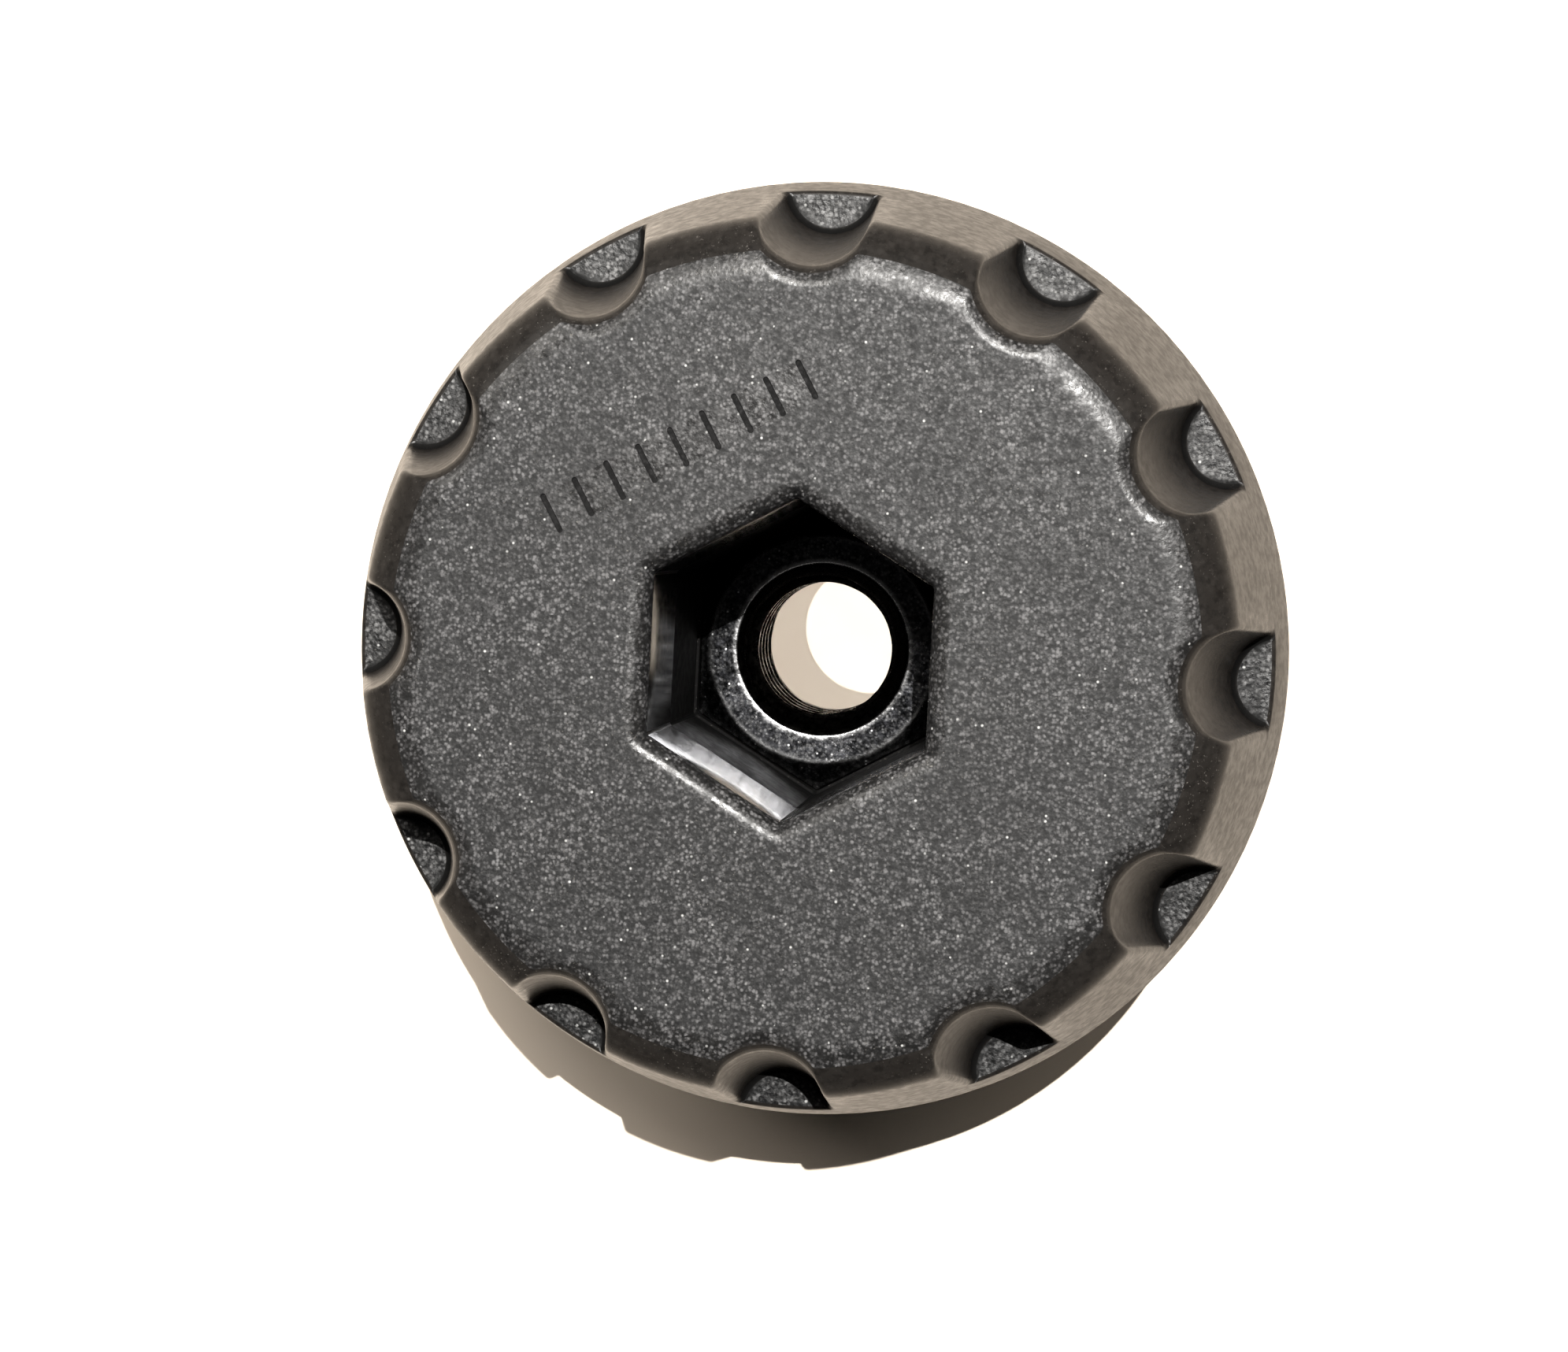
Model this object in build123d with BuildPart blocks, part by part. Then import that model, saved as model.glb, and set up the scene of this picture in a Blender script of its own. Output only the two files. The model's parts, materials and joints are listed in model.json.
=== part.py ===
from build123d import *
import math
import os

# Cap-type oil filter wrench with a scalloped hand grip. One glass-filled nylon
# moulding carries a captive hex nut at the bottom of a hexagonal socket.
#
# Frame: millimetres, +Z up along the turning axis. The origin is the centre of the
# cup's mouth, so the mouth rim lies on Z = 0 and the grip's flat face is on top.
# The hexagon's corners point along +Y and at every 60 degrees from it, and the
# scallops start on +X.

# ---- hex nut: M12, modelled with a plain bore at the thread's minor diameter -----
NUT_ACROSS_FLATS = 19.0
NUT_HEIGHT = 10.0
NUT_BORE = 10.3
NUT_COUNTERSINK = 13.2
NUT_CHAMFER_CIRCLE = 17.5
NUT_CHAMFER_ANGLE = 30.0

# ---- hexagonal socket, and the seat that the nut stands on ------------------------
SOCKET_DEPTH = 21.8
SOCKET_CLEARANCE = 0.25
NUT_CLEARANCE = 0.05
SOCKET_EDGE_BEVEL = 0.4
SEAT_LIP = 3.2
SCREW_HOLE = 13.5

# ---- fluted filter cup -------------------------------------------------------------
FILTER_ACROSS_FLATS = 65.0
FILTER_CLEARANCE = 0.15
FLUTE_COUNT = 14
FLUTE_LENGTH = 13.0
FLUTE_DEPTH = 0.9
LAND_WIDTH = 9.0
LEAD_IN = 1.2
SKIRT_WALL = 2.2
SKIRT_DRAFT = 0.75
MOUTH_BEAD = 0.5
MOUTH_BEAD_HEIGHT = 4.0

# ---- scalloped hand grip -----------------------------------------------------------
GRIP_HEIGHT = 17.0
GRIP_TAPER = 4.35
FACE_BEVEL_WIDTH = 2.6
FACE_BEVEL_HEIGHT = 2.0
SCALLOP_COUNT = 12
SCALLOP_FLOOR_HEIGHT = 4.2
SCALLOP_FLOOR_DEPTH = 4.25
SCALLOP_FLOOR_ARC = 3.5
SCALLOP_TOP_DEPTH = 8.1
SCALLOP_TOP_ARC = 4.2
EDGE_ROUND = 0.8

# ---- walls, hub and ribs -----------------------------------------------------------
FACE_PLATE = 3.0
GRIP_WALL = 3.0
STOP_STEP = 0.5
HUB_WALL = 3.2
RIB_COUNT = 6
RIB_THICKNESS = 2.4

# ---- heights and radii that follow from the sizes above ----------------------------
nut_seat = FLUTE_LENGTH + SEAT_LIP
nut_top = nut_seat + NUT_HEIGHT
face_height = nut_top + SOCKET_DEPTH
shoulder_height = face_height - GRIP_HEIGHT
scallop_floor = shoulder_height + SCALLOP_FLOOR_HEIGHT
plate_underside = face_height - FACE_PLATE
bevel_foot = face_height - FACE_BEVEL_HEIGHT

land_radius = FILTER_ACROSS_FLATS / 2 + FILTER_CLEARANCE
groove_radius = land_radius + FLUTE_DEPTH
mouth_radius = groove_radius + SKIRT_WALL
shoulder_radius = mouth_radius - SKIRT_DRAFT
grip_top_radius = shoulder_radius - GRIP_TAPER
face_radius = grip_top_radius - FACE_BEVEL_WIDTH
bay_radius = land_radius - STOP_STEP

socket_across = NUT_ACROSS_FLATS + 2 * SOCKET_CLEARANCE
pocket_across = NUT_ACROSS_FLATS + 2 * NUT_CLEARANCE
hub_radius = socket_across / 2 / math.cos(math.radians(30)) + HUB_WALL


def scallop_inner(height):
    """Radius of the scallops' innermost line at a height above the mouth."""
    share = (height - scallop_floor) / (face_height - scallop_floor)
    depth = SCALLOP_FLOOR_DEPTH + (SCALLOP_TOP_DEPTH - SCALLOP_FLOOR_DEPTH) * share
    return shoulder_radius - depth


def scallop_arc(height):
    """Radius of the scallops' arc at a height above the mouth."""
    share = (height - scallop_floor) / (face_height - scallop_floor)
    return SCALLOP_FLOOR_ARC + (SCALLOP_TOP_ARC - SCALLOP_FLOOR_ARC) * share


def hexagon(across_flats):
    """Hexagon with its corners on +Y and every 60 degrees, in the open sketch."""
    RegularPolygon(across_flats / 2, 6, major_radius=False, rotation=30)


# ---- bays: the hollow above the flutes, less the hub and its ribs -------------------
bay_roof = scallop_floor - GRIP_WALL
bay_top_radius = scallop_inner(plate_underside) - GRIP_WALL
bay_roof_radius = scallop_inner(bay_roof) - GRIP_WALL

with BuildPart() as bays:
    with BuildSketch(Plane.XZ):
        with BuildLine():
            Polyline(
                (0, FLUTE_LENGTH),
                (bay_radius, FLUTE_LENGTH),
                (bay_radius, bay_roof),
                (bay_roof_radius, bay_roof),
                (bay_top_radius, plate_underside),
                (0, plate_underside),
                close=True,
            )
        make_face()
    revolve(axis=Axis.Z)
    with BuildSketch(Plane.XY.offset(FLUTE_LENGTH)):
        Circle(hub_radius)
        with PolarLocations(0, RIB_COUNT, start_angle=30):
            Rectangle(2 * shoulder_radius, RIB_THICKNESS, align=(Align.MIN, Align.CENTER))
    extrude(amount=plate_underside - FLUTE_LENGTH, mode=Mode.SUBTRACT)

# ---- flutes: the grooved hollow that grips the filter's end --------------------------
with BuildPart() as flutes:
    with BuildSketch():
        Circle(groove_radius)
        with PolarLocations(land_radius, FLUTE_COUNT):
            Rectangle(2 * FLUTE_DEPTH, LAND_WIDTH, align=(Align.MIN, Align.CENTER), mode=Mode.SUBTRACT)
    extrude(amount=FLUTE_LENGTH)
    Cone(groove_radius, land_radius, LEAD_IN, align=(Align.CENTER, Align.CENTER, Align.MIN))

# ---- one scallop's cutter, on +X ------------------------------------------------------
cutter_top = face_height + SCALLOP_TOP_ARC
with BuildPart() as scallop:
    for level in (scallop_floor, cutter_top):
        with BuildSketch(Plane.XY.offset(level)):
            with Locations((scallop_inner(level) + scallop_arc(level), 0)):
                Circle(scallop_arc(level))
    loft(ruled=True)

# ---- cap: the whole moulding -----------------------------------------------------------
with BuildPart() as cap:
    with BuildSketch(Plane.XZ) as profile:
        with BuildLine():
            Polyline(
                (0, 0),
                (mouth_radius + MOUTH_BEAD, 0),
                (mouth_radius + MOUTH_BEAD, MOUTH_BEAD_HEIGHT),
                (mouth_radius, MOUTH_BEAD_HEIGHT + MOUTH_BEAD),
                (shoulder_radius, shoulder_height),
                (grip_top_radius, bevel_foot),
                (face_radius, face_height),
                (0, face_height),
                close=True,
            )
        make_face()
        outer_corners = profile.vertices().filter_by(lambda corner: corner.Z > shoulder_height - 1)
        fillet(outer_corners.filter_by(lambda corner: corner.X > 1), EDGE_ROUND)
    revolve(axis=Axis.Z)
    add(bays.part, mode=Mode.SUBTRACT)
    add(flutes.part, mode=Mode.SUBTRACT)
    with PolarLocations(0, SCALLOP_COUNT):
        add(scallop.part, mode=Mode.SUBTRACT)
    with BuildSketch(Plane.XY.offset(nut_seat)):
        hexagon(pocket_across)
    extrude(amount=NUT_HEIGHT, mode=Mode.SUBTRACT)
    with BuildSketch(Plane.XY.offset(nut_top)):
        hexagon(socket_across)
    extrude(amount=SOCKET_DEPTH, mode=Mode.SUBTRACT)
    with BuildSketch(Plane.XY.offset(face_height)):
        hexagon(socket_across + 2 * SOCKET_EDGE_BEVEL)
    extrude(amount=-SOCKET_EDGE_BEVEL, taper=45, mode=Mode.SUBTRACT)
    with BuildSketch(Plane.XY.offset(FLUTE_LENGTH)):
        Circle(SCREW_HOLE / 2)
    extrude(amount=SEAT_LIP, mode=Mode.SUBTRACT)
cap.part.label = "cap"

# ---- hex nut: stands on the seat, its flats against the pocket --------------------------
corner_radius = NUT_ACROSS_FLATS / 2 / math.cos(math.radians(30)) + 1
chamfer_drop = (corner_radius - NUT_CHAMFER_CIRCLE / 2) * math.tan(math.radians(NUT_CHAMFER_ANGLE))
countersink_depth = (NUT_COUNTERSINK - NUT_BORE) / 2

with BuildPart() as hex_nut:
    with BuildSketch(Plane.XY.offset(nut_seat)):
        hexagon(NUT_ACROSS_FLATS)
    extrude(amount=NUT_HEIGHT)
    with BuildSketch(Plane.XZ):
        with BuildLine():
            Polyline(
                (0, nut_seat),
                (NUT_CHAMFER_CIRCLE / 2, nut_seat),
                (corner_radius, nut_seat + chamfer_drop),
                (corner_radius, nut_top - chamfer_drop),
                (NUT_CHAMFER_CIRCLE / 2, nut_top),
                (0, nut_top),
                close=True,
            )
        make_face()
    revolve(axis=Axis.Z, mode=Mode.INTERSECT)
    with BuildSketch(Plane.XZ):
        with BuildLine():
            Polyline(
                (0, nut_seat),
                (NUT_COUNTERSINK / 2, nut_seat),
                (NUT_BORE / 2, nut_seat + countersink_depth),
                (NUT_BORE / 2, nut_top - countersink_depth),
                (NUT_COUNTERSINK / 2, nut_top),
                (0, nut_top),
                close=True,
            )
        make_face()
    revolve(axis=Axis.Z, mode=Mode.SUBTRACT)
hex_nut.part.label = "hex_nut"

os.makedirs("parts", exist_ok=True)
export_step(cap.part, "parts/cap.step")
export_step(hex_nut.part, "parts/hex_nut.step")
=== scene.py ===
"""Looks of a cap-type oil filter wrench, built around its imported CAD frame.

The cap is one glass-filled nylon moulding and the hex nut is a steel insert. Both are
made here as finished meshes that stand for their CAD nodes, at the CAD's own sizes.
Meshes are worked out in millimetres in the frame's own axes and written in metres.
"""

import json
import logging
import math
from dataclasses import dataclass, field
from enum import Enum
from typing import Iterable, Sequence

import bmesh
import bpy
import numpy as np
from mathutils import Matrix, Vector
from mathutils.geometry import delaunay_2d_cdt


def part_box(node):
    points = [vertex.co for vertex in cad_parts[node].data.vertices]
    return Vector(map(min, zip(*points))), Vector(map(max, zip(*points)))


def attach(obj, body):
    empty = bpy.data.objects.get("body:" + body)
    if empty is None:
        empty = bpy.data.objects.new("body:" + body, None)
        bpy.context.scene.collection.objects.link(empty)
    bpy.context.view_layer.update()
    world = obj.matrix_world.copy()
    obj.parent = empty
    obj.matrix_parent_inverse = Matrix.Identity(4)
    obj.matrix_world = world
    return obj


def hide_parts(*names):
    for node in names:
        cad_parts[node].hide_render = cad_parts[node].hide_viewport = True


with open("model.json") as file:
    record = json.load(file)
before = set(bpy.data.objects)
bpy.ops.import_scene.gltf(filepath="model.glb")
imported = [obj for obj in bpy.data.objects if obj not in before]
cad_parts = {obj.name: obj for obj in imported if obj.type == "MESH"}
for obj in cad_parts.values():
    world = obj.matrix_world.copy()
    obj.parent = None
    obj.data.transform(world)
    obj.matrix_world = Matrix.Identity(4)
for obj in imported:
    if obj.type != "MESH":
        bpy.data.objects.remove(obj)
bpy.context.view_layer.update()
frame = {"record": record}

LOG = logging.getLogger("filter_wrench")
MM = 0.001
BODY = "root"
WELD = 0.002 * MM  # vertices closer than this are one
GUARD = 0.3  # flat margin between an edge and the panel beyond it
SIXTH = math.pi / 6
BEND_POINTS = 7  # points along a quarter-round edge
CORNER_POINTS = 5  # points along a small corner
HOLE_POINTS = 96
CONVEXITY = "convexity"

Loop = np.ndarray
Rows = Iterable[tuple[Loop, float | np.ndarray]]
Colour = tuple[float, float, float]
Point = tuple[float, float, float]
Socket = bpy.types.NodeSocket
Value = Socket | float


class Finish(Enum):
    """Surface finishes of the nylon, in the order of the cap's material slots."""

    SMOOTH = 0
    GRAINED = 1
    COARSE = 2
    POLISHED = 3
    # darker nylon of the socket's deep walls: painted shade
    SHADED_SOCKET = 4


class SteelFinish(Enum):
    """Surface finishes of the nut, in the order of its material slots."""

    FACES = 0
    # the bore's thread and countersink cones, in near-black steel that paints their shade
    THREAD = 1


# ------------------------------------------------------------------ outlines and profiles


def spokes(angles: np.ndarray) -> Loop:
    """Unit directions for angles in radians."""
    return np.column_stack((np.cos(angles), np.sin(angles)))


def outward(points: np.ndarray) -> Loop:
    """Unit directions from the axis to points."""
    return spokes(np.arctan2(points[:, 1], points[:, 0]))


def arc(centre: Sequence[float], radius: float, start: float, end: float, count: int) -> Loop:
    """Points along a circular arc, both ends included.

    Args:
        centre: Centre of the circle.
        radius: Radius of the circle.
        start: First angle in radians.
        end: Last angle in radians.
        count: Number of points.

    Returns:
        The points, one row each.
    """
    angles = np.linspace(start, end, count)
    return spokes(angles) * radius + (centre[0], centre[1])


def circle(radius: float, count: int) -> Loop:
    """A closed circle about the origin, counter-clockwise from +X."""
    return arc((0, 0), radius, 0, 2 * math.pi, count + 1)[:-1]


def turned(points: Loop, angle: float) -> Loop:
    """Points turned about the origin by an angle in radians."""
    c, s = math.cos(angle), math.sin(angle)
    return points @ np.array(((c, s), (-s, c)))


def repeated(half: Loop, count: int) -> Loop:
    """A closed outline from one half of a repeat that is symmetric about +X.

    Args:
        half: Points from the +X axis up to the repeat's upper end, both included.
        count: Number of repeats round the circle.

    Returns:
        The whole outline, counter-clockwise, starting at the first lower end.
    """
    unit = np.vstack((half[:0:-1] * (1, -1), half[:-1]))
    return np.vstack([turned(unit, 2 * math.pi * k / count) for k in range(count)])


def rounded_profile(corners: Sequence[Sequence[float]], steps: int = 5) -> Loop:
    """A polyline in radius and height whose corners are rounded.

    Args:
        corners: Rows of radius, height and rounding; a rounding of 0 keeps a corner sharp.
        steps: Number of spans in each rounding.

    Returns:
        Rows of radius and height along the profile.
    """
    points = [np.array(corners[0][:2], float)]
    for before, here, after in zip(corners, corners[1:], corners[2:]):
        corner = np.array(here[:2], float)
        rounding = here[2]
        if rounding <= 0:
            points.append(corner)
            continue
        back = np.array(before[:2]) - corner
        ahead = np.array(after[:2]) - corner
        back = back / np.linalg.norm(back)
        ahead = ahead / np.linalg.norm(ahead)
        half = math.acos(float(np.clip(back @ ahead, -1, 1))) / 2
        inward = (back + ahead) / np.linalg.norm(back + ahead)
        pivot = corner + inward * rounding / math.sin(half)
        first = corner + back * rounding / math.tan(half) - pivot
        last = corner + ahead * rounding / math.tan(half) - pivot
        sweep = math.pi - 2 * half
        for k in range(steps + 1):
            share = sweep * k / steps
            spoke = first * math.sin(sweep - share) + last * math.sin(share)
            points.append(pivot + spoke / math.sin(sweep))
    points.append(np.array(corners[-1][:2], float))
    return np.array(points)


def hexagon(apothem: float, rounding: float) -> Loop:
    """A hexagon with its flats across +X and rounded corners at 30 degrees and on.

    Args:
        apothem: Distance from the axis to each flat.
        rounding: Radius of its corners.

    Returns:
        The closed outline, counter-clockwise.
    """
    reach = (apothem - rounding) / math.cos(SIXTH)
    pivot = (reach * math.cos(SIXTH), reach * math.sin(SIXTH))
    flat = np.column_stack((np.full(5, apothem), np.linspace(0, pivot[1], 6)[:-1]))
    return repeated(np.vstack((flat, arc(pivot, rounding, 0, SIXTH, CORNER_POINTS))), 6)


def inside(points: Loop, outline: Loop) -> np.ndarray:
    """Which points lie inside a closed outline, by the even-odd rule.

    Args:
        points: The points to test.
        outline: The closed outline.

    Returns:
        True or False for each point.
    """
    x, y = np.hsplit(points, 2)
    ax, ay = outline.T[:, None, :]
    bx = np.roll(ax, -1, axis=1)
    by = np.roll(ay, -1, axis=1)
    spans = (ay > y) != (by > y)
    rise = np.where(spans, by - ay, 1.0)
    return ((spans & (x < ax + (y - ay) * (bx - ax) / rise)).sum(axis=1) % 2) == 1


def bulged(outline: Loop) -> Loop:
    """An outline with its straight runs bowed out by under a hundredth of a millimetre.

    Args:
        outline: The closed outline.

    Returns:
        The same points, moved just far enough that no three of them are in line.
    """
    centre = outline.mean(axis=0)
    arm = outline - centre
    length = np.hypot(*arm.T)
    bow = 2e-4
    return centre + arm * (1 + bow * (1 - (length / length.max()) ** 2))[:, None]


# ----------------------------------------------------------------------------- mesh kernel


class Shell:
    """A mesh in millimetres that is put together from loops, strips and flat panels.

    A path that starts at the middle of the top face, runs outwards, down, in at the mouth
    and up inside always has the material on its right. Strips that follow it face outwards.
    """

    def __init__(self) -> None:
        """Starts with no vertices and no faces."""
        self.points: list[np.ndarray] = []
        self.faces: list[tuple[int, ...]] = []
        self.finishes: list[int] = []
        self.smooth: list[bool] = []
        self.count = 0

    def loop(self, outline: Loop, height: float | np.ndarray) -> np.ndarray:
        """Adds an outline at one height, or with a height for each point.

        Args:
            outline: Its points, counter-clockwise seen from above.
            height: Height of the loop or of each point.

        Returns:
            The indexes of its vertices.
        """
        heights = np.broadcast_to(np.asarray(height, float), (len(outline),))
        self.points.append(np.column_stack((outline, heights)))
        self.count += len(outline)
        return np.arange(self.count - len(outline), self.count)

    def strip(self, first: np.ndarray, second: np.ndarray, finish: Enum) -> np.ndarray:
        """Joins two loops of equal length by quads, along the path from first to second.

        Args:
            first: Vertex indexes of the loop that the path meets first.
            second: Vertex indexes of the next loop.
            finish: Finish of the strip.

        Returns:
            The second loop, for the next strip.
        """
        quads = np.column_stack((first, second, np.roll(second, -1), np.roll(first, -1)))
        self.faces.extend(map(tuple, quads.tolist()))
        self.finishes.extend([finish.value] * len(quads))
        self.smooth.extend([True] * len(quads))
        return second

    def path(self, start: np.ndarray, rows: Rows, finish: Enum) -> np.ndarray:
        """Adds a run of strips through several loops.

        Args:
            start: Vertex indexes of the loop to start from.
            rows: Outline and height of each further loop.
            finish: Finish of all the strips.

        Returns:
            The last loop's vertex indexes.
        """
        for outline, height in rows:
            start = self.strip(start, self.loop(outline, height), finish)
        return start

    def panel(
        self,
        rim: np.ndarray,
        holes: Sequence[np.ndarray],
        up: bool,
        finish: Enum,
        grid: float = 2.5,
    ) -> None:
        """Fills a flat region between a rim and its holes with even triangles.

        Args:
            rim: Vertex indexes of the outer loop.
            holes: Vertex indexes of each inner loop.
            up: Whether the panel faces +Z.
            finish: Its finish.
            grid: Spacing of the points inside.
        """
        every = np.vstack(self.points)
        outlines = [bulged(every[loop][:, :2]) for loop in (rim, *holes)]
        seeds = self._seeds(outlines, grid)
        flat = np.vstack((*outlines, seeds))
        height = float(every[rim[0], 2])
        ids = np.concatenate((rim, *holes, self.loop(seeds, height))).astype(int)
        edges = []
        start = 0
        for outline in outlines:
            count = len(outline)
            edges += [(start + k, start + (k + 1) % count) for k in range(count)]
            start += count
        result = delaunay_2d_cdt([Vector(p) for p in flat], edges, [], 0, 1e-7)
        triangles = np.array([[result[3][v][0] for v in face] for face in result[2]])
        triangles = triangles[self._within(flat[triangles].mean(axis=1), outlines)]
        a, b, c = flat[triangles.T]
        (bx, by), (cx, cy) = (b - a).T, (c - a).T
        wrong = (bx * cy - by * cx > 0) != up
        triangles[wrong] = triangles[wrong][:, ::-1]
        self.faces.extend(map(tuple, ids[triangles].tolist()))
        self.finishes.extend([finish.value] * len(triangles))
        self.smooth.extend([False] * len(triangles))

    @staticmethod
    def _within(points: Loop, outlines: Sequence[Loop]) -> np.ndarray:
        """Which points lie inside the first outline and in none of the others.

        Args:
            points: The points to test.
            outlines: The rim and the holes.

        Returns:
            True or False for each point.
        """
        keep = inside(points, outlines[0])
        for outline in outlines[1:]:
            keep &= ~inside(points, outline)
        return keep

    def _seeds(self, outlines: Sequence[Loop], grid: float) -> Loop:
        """Points of an even triangular grid, clear of a panel's borders.

        Args:
            outlines: The rim and the holes.
            grid: Spacing of the points.

        Returns:
            The points inside the panel.
        """
        low, high = outlines[0].min(axis=0), outlines[0].max(axis=0)
        row_height, clearance = 0.866 * grid, 0.6 * grid
        x, y = np.meshgrid(
            np.arange(low[0], high[0], grid), np.arange(low[1], high[1], row_height)
        )
        x = x + (np.arange(len(y)) % 2)[:, None] * grid / 2
        seeds = np.column_stack((x.ravel(), y.ravel()))
        seeds = seeds[self._within(seeds, outlines)]
        border = np.vstack(outlines)
        gaps = np.array([np.hypot(*(border - seed).T).min() for seed in seeds])
        return seeds[gaps > clearance] if len(seeds) else seeds

    @staticmethod
    def _mark_convexity(work: bmesh.types.BMesh) -> None:
        """Stores each vertex's mean curvature, per millimetre and positive where convex.

        Bend and area are each summed over a vertex and its neighbours before they are
        divided, so that uneven rows of faces give an even result.

        Args:
            work: The mesh, in metres.
        """
        layer = work.verts.layers.float.new(CONVEXITY)
        totals = {}
        for vert in work.verts:
            edges = vert.link_edges
            bend = sum(edge.calc_face_angle_signed(0.0) * edge.calc_length() for edge in edges)
            area = sum(face.calc_area() / len(face.verts) for face in vert.link_faces)
            totals[vert] = np.array((bend / 4, area))
        for _ in range(2):
            totals = {
                vert: own + sum(totals[edge.other_vert(vert)] for edge in vert.link_edges)
                for vert, own in totals.items()
            }
        for vert, (bend, area) in totals.items():
            vert[layer] = bend / area * MM

    def piece(
        self, name: str, materials: Sequence[bpy.types.Material], sharp: float = 40.0
    ) -> bpy.types.Object:
        """Turns the shell into a welded Blender object in metres.

        Args:
            name: Name of the object.
            materials: One material for each finish number.
            sharp: Angle in degrees above which an edge is shaded sharp.

        Returns:
            The new object.
        """
        mesh = bpy.data.meshes.new(name)
        mesh.from_pydata((np.vstack(self.points) * MM).tolist(), [], self.faces)
        mesh.polygons.foreach_set("material_index", np.array(self.finishes, np.int32))
        mesh.polygons.foreach_set("use_smooth", np.array(self.smooth, bool))
        for material in materials:
            mesh.materials.append(material)
        work = bmesh.new()
        work.from_mesh(mesh)
        bmesh.ops.remove_doubles(work, verts=work.verts, dist=WELD)
        bmesh.ops.dissolve_degenerate(work, edges=work.edges, dist=WELD)
        loose = [vert for vert in work.verts if not vert.link_faces]
        bmesh.ops.delete(work, geom=loose, context="VERTS")
        self._mark_convexity(work)
        open_edges = sum(1 for edge in work.edges if len(edge.link_faces) != 2)
        volume = work.calc_volume(signed=True) / MM**3
        work.to_mesh(mesh)
        work.free()
        mesh.set_sharp_from_angle(angle=math.radians(sharp))
        faces = len(mesh.polygons)
        LOG.info("%s: %d faces, %d open edges, %.0f mm3", name, faces, open_edges, volume)
        piece = bpy.data.objects.new(name, mesh)
        bpy.context.scene.collection.objects.link(piece)
        return piece


# ------------------------------------------------------------------------------- materials


class Graph:
    """Short-hand for filling a shader node tree."""

    def __init__(self, tree: bpy.types.NodeTree) -> None:
        """Keeps the tree and empties it."""
        self.tree = tree
        self.tree.nodes.clear()

    def node(self, kind: str, inputs: dict | None = None, **settings: object) -> bpy.types.Node:
        """Adds a node, with its settings and its inputs.

        Args:
            kind: Blender's node type.
            inputs: Value or output socket for each input, by name or number.
            settings: Properties of the node itself.

        Returns:
            The new node.
        """
        node = self.tree.nodes.new(kind)
        for key, value in settings.items():
            setattr(node, key, value)
        for key, value in (inputs or {}).items():
            if isinstance(value, Socket):
                self.tree.links.new(value, node.inputs[key])
            else:
                node.inputs[key].default_value = value
        return node

    def math(self, operation: str, *values: Value, clamp: bool = False) -> Socket:
        """Adds a Math node and returns its output."""
        inputs = dict(enumerate(values))
        return self.node("ShaderNodeMath", inputs, operation=operation, use_clamp=clamp).outputs[0]

    def times(self, first: Value, second: Value) -> Socket:
        """The product of two values."""
        return self.math("MULTIPLY", first, second)

    def ramp(
        self, value: Value, low: Value, high: Value, out_low: float = 0.0, out_high: float = 1.0
    ) -> Socket:
        """Maps a value from one range onto another with a smooth step, clamped."""
        inputs = {0: value, 1: low, 2: high, 3: out_low, 4: out_high}
        return self.node("ShaderNodeMapRange", inputs, interpolation_type="SMOOTHSTEP").outputs[0]

    def blend(self, factor: Value, first: Socket | tuple, second: Socket | tuple) -> Socket:
        """Mixes two colours by a factor."""
        inputs = {0: factor, 6: first, 7: second}
        return self.node("ShaderNodeMix", inputs, data_type="RGBA").outputs[2]

    def layer(self, below: Socket, mask: Socket, share: float, tone: Colour) -> Socket:
        """Lays a share of a tone over a colour, where a mask lets it."""
        return self.blend(self.times(mask, share), below, (*tone, 1))

    def noise(
        self, vector: Socket, scale: float, detail: float = 2.0, roughness: float = 0.5
    ) -> Socket:
        """Adds a noise texture and returns its value."""
        inputs = {"Vector": vector, "Scale": scale, "Detail": detail, "Roughness": roughness}
        return self.node("ShaderNodeTexNoise", inputs).outputs[0]

    def cells(self, vector: Socket, scale: float) -> tuple[Socket, Socket, Socket]:
        """Adds a texture of round cells.

        Args:
            vector: Where the texture is read.
            scale: Cells to each unit of length.

        Returns:
            Distance from the cell's centre, and two numbers drawn for each cell.
        """
        inputs = {"Vector": vector, "Scale": scale}
        cells = self.node("ShaderNodeTexVoronoi", inputs, feature="F1").outputs
        lots = self.node("ShaderNodeSeparateColor", {0: cells["Color"]}).outputs
        return cells["Distance"], lots[0], lots[1]

    def scaled(self, vector: Socket, scale: Value) -> Socket:
        """A vector times a number."""
        inputs = {0: vector, "Scale": scale}
        return self.node("ShaderNodeVectorMath", inputs, operation="SCALE").outputs[0]

    def millimetres(self, size: Socket | None = None) -> Socket:
        """Object coordinates in millimetres, divided by a size where one is given."""
        place = self.scaled(self.node("ShaderNodeTexCoord").outputs["Object"], 1 / MM)
        return place if size is None else self.scaled(place, self.math("DIVIDE", 1.0, size))

    def uneven(self, scale: float, between: tuple[float, float]) -> Socket:
        """A roughness that drifts between two values."""
        drift = self.noise(self.millimetres(), scale, 3.0, 0.6)
        return self.ramp(drift, 0.3, 0.7, *between)

    def shade(
        self, colour: Socket, rough: Socket, height: Socket, relief: float, shine: dict[str, float]
    ) -> None:
        """Adds a material's bump, shader and output.

        Args:
            colour: Base colour.
            rough: Roughness.
            height: Height of the bumps, from 0 to 1.
            relief: Depth of the bumps in millimetres.
            shine: The shader's other values, by name.
        """
        inputs = {"Height": height, "Strength": 1.0, "Distance": relief * MM}
        bump = self.node("ShaderNodeBump", inputs).outputs[0]
        inputs = {"Base Color": colour, "Roughness": rough, "Normal": bump, **shine}
        shader = self.node("ShaderNodeBsdfPrincipled", inputs)
        self.node("ShaderNodeOutputMaterial", {0: shader.outputs[0]})


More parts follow.
